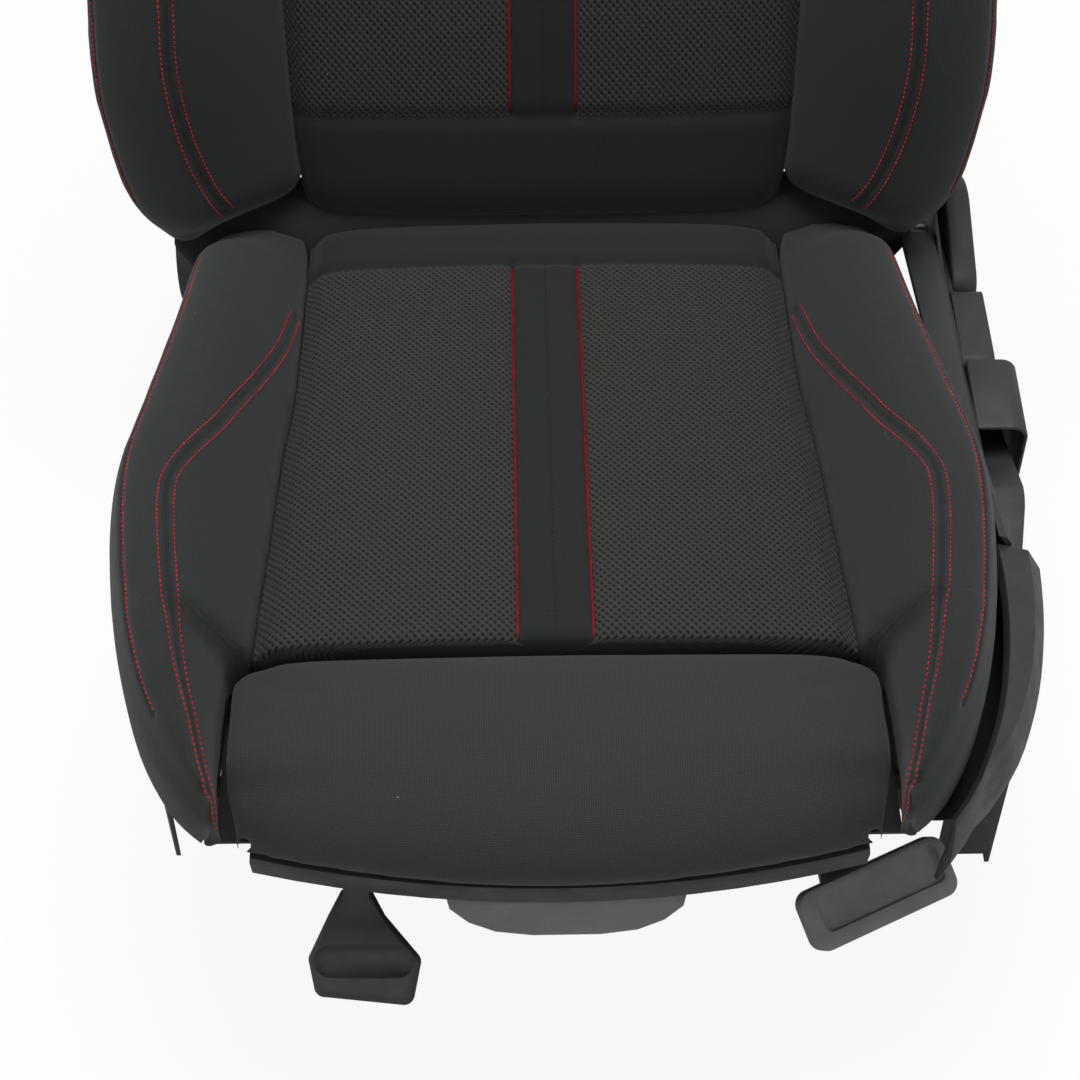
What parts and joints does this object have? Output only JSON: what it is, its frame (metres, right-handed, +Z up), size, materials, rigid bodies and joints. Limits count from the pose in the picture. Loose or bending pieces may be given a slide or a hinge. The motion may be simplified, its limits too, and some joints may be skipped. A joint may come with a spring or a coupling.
{
  "type": "racing seat",
  "caption": "Bolstered sports seat with a reclining backrest, sliding rails, link height adjuster, tilting cushion, sliding thigh support and headrest",
  "frame": {"origin": "middle of the four floor bolts, on the floor plane under the feet", "axes": "+Z up, the seat faces -Y, +X is the outboard side with the height and recline levers"},
  "size_m": [0.6184, 0.9418, 0.9864],
  "materials": {
    "rail_steel": "black e-coat, satin",
    "plated_steel": "zinc plated",
    "frame_steel": "black e-coat, satin",
    "link_steel": "phosphated, satin",
    "spring_wire": "drawn wire",
    "nylon": "natural nylon",
    "trim_plastic": "fine grain",
    "lever_plastic": "fine grain",
    "mesh_fabric": "coarse spacer mesh",
    "bolster_fabric": "fine dotted weave",
    "chrome_steel": "polished"
  },
  "bodies": {
    "floor_rails": {"lower_rail_left": "rail_steel", "lower_rail_right": "rail_steel", "rail_feet": "plated_steel"},
    "carriage": {"slider_left": "plated_steel", "slider_right": "plated_steel", "slide_glides": "nylon", "slider_pins": "plated_steel"},
    "slide_release": {"release_arm_left": "frame_steel", "release_arm_right": "frame_steel", "release_tube": "frame_steel", "slide_release_paddle": "lever_plastic"},
    "front_links": {"front_link_left": "link_steel", "front_link_right": "link_steel", "front_torque_tube": "link_steel"},
    "rear_links": {"rear_link_left": "link_steel", "rear_link_right": "link_steel", "rear_torque_tube": "link_steel"},
    "seat_frame": {"side_frame_left": "frame_steel", "side_frame_right": "frame_steel", "cross_tubes": "frame_steel", "recliner_left": "plated_steel", "recliner_right": "plated_steel", "height_pump": "link_steel", "side_trim": "trim_plastic", "front_valance": "trim_plastic", "rail_skirt": "trim_plastic", "side_trim_left": "trim_plastic", "lever_shroud": "trim_plastic", "recliner_cover_right": "trim_plastic", "recliner_cover_left": "trim_plastic", "pan_pins": "plated_steel"},
    "height_lever": {"height_lever": "lever_plastic"},
    "recline_lever": {"recline_shaft": "plated_steel", "recline_lever": "lever_plastic"},
    "cushion": {"cushion_pan": "frame_steel", "thigh_guides": "nylon", "tilt_bracket": "plated_steel", "cushion_insert": "mesh_fabric", "cushion_bolster_left": "bolster_fabric", "cushion_bolster_right": "bolster_fabric"},
    "tilt_lever": {"tilt_lever": "lever_plastic"},
    "thigh_support": {"thigh_carrier": "frame_steel", "thigh_rods": "plated_steel", "thigh_pad": "bolster_fabric", "thigh_shell": "trim_plastic", "handle_pin": "plated_steel"},
    "thigh_handle": {"thigh_handle": "lever_plastic"},
    "backrest": {"back_member_left": "frame_steel", "back_member_right": "frame_steel", "back_braces": "frame_steel", "back_springs": "spring_wire", "back_insert": "mesh_fabric", "back_bolster_left": "bolster_fabric", "back_bolster_right": "bolster_fabric", "shoulder_pad": "bolster_fabric", "back_shell": "trim_plastic", "headrest_guides": "trim_plastic"},
    "headrest": {"headrest_posts": "chrome_steel", "headrest_pad": "bolster_fabric"},
    "headrest_button": {"headrest_button": "lever_plastic"}
  },
  "joints": [
    {"name": "slide_adjust", "type": "slide", "parent": "floor_rails", "child": "carriage", "axis": [0, 1, 0], "range_m": [-0.01, 0.19]},
    {"name": "slide_release_pull", "type": "hinge", "parent": "carriage", "child": "slide_release", "pos_m": [0, -0.205, 0.064], "axis": [-1, 0, 0], "range_deg": [0, 4], "stiffness_Nm_per_rad": 14, "springref_deg": -6.88},
    {"name": "height_adjust", "type": "hinge", "parent": "carriage", "child": "front_links", "pos_m": [0, -0.26, 0.064], "axis": [1, 0, 0], "range_deg": [-10, 35]},
    {"name": "rear_links_turn", "type": "hinge", "parent": "carriage", "child": "rear_links", "pos_m": [0, 0.02, 0.064], "axis": [1, 0, 0], "range_deg": [-10, 35]},
    {"name": "frame_level", "type": "hinge", "parent": "front_links", "child": "seat_frame", "pos_m": [0, -0.19072, 0.104], "axis": [1, 0, 0], "range_deg": [-35, 10]},
    {"name": "height_lever_pump", "type": "hinge", "parent": "seat_frame", "child": "height_lever", "pos_m": [0.29, -0.06, 0.164], "axis": [-1, 0, 0], "range_deg": [-12, 12], "stiffness_Nm_per_rad": 2},
    {"name": "recline_release", "type": "hinge", "parent": "seat_frame", "child": "recline_lever", "pos_m": [0, 0.148, 0.168], "axis": [-1, 0, 0], "range_deg": [0, 12], "stiffness_Nm_per_rad": 5, "springref_deg": -5.73},
    {"name": "cushion_tilt", "type": "hinge", "parent": "seat_frame", "child": "cushion", "pos_m": [0, 0.148, 0.168], "axis": [-1, 0, 0], "range_deg": [0, 4]},
    {"name": "tilt_release", "type": "hinge", "parent": "cushion", "child": "tilt_lever", "pos_m": [-0.121, -0.372, 0.182], "axis": [-1, 0, 0], "range_deg": [0, 10], "stiffness_Nm_per_rad": 1.2, "springref_deg": -6.88},
    {"name": "thigh_slide", "type": "slide", "parent": "cushion", "child": "thigh_support", "axis": [0, -0.9925, 0.1219], "range_m": [0, 0.06]},
    {"name": "thigh_release", "type": "hinge", "parent": "thigh_support", "child": "thigh_handle", "pos_m": [0.004, -0.398, 0.18], "axis": [-1, 0, 0], "range_deg": [0, 12], "stiffness_Nm_per_rad": 0.8, "springref_deg": -6.88},
    {"name": "backrest_recline", "type": "hinge", "parent": "seat_frame", "child": "backrest", "pos_m": [0, 0.148, 0.168], "axis": [-1, 0, 0], "range_deg": [-4, 42]},
    {"name": "headrest_height", "type": "slide", "parent": "backrest", "child": "headrest", "axis": [0, 0.3746, 0.9272], "range_m": [0, 0.06]},
    {"name": "headrest_button_press", "type": "slide", "parent": "backrest", "child": "headrest_button", "axis": [-1, 0, 0], "range_m": [0, 0.004], "stiffness_N_per_m": 400, "springref_m": -0.004}
  ],
  "couplings": [
    {"joint": "rear_links_turn", "follows": "height_adjust", "ratio": 1},
    {"joint": "frame_level", "follows": "height_adjust", "ratio": -1}
  ]
}
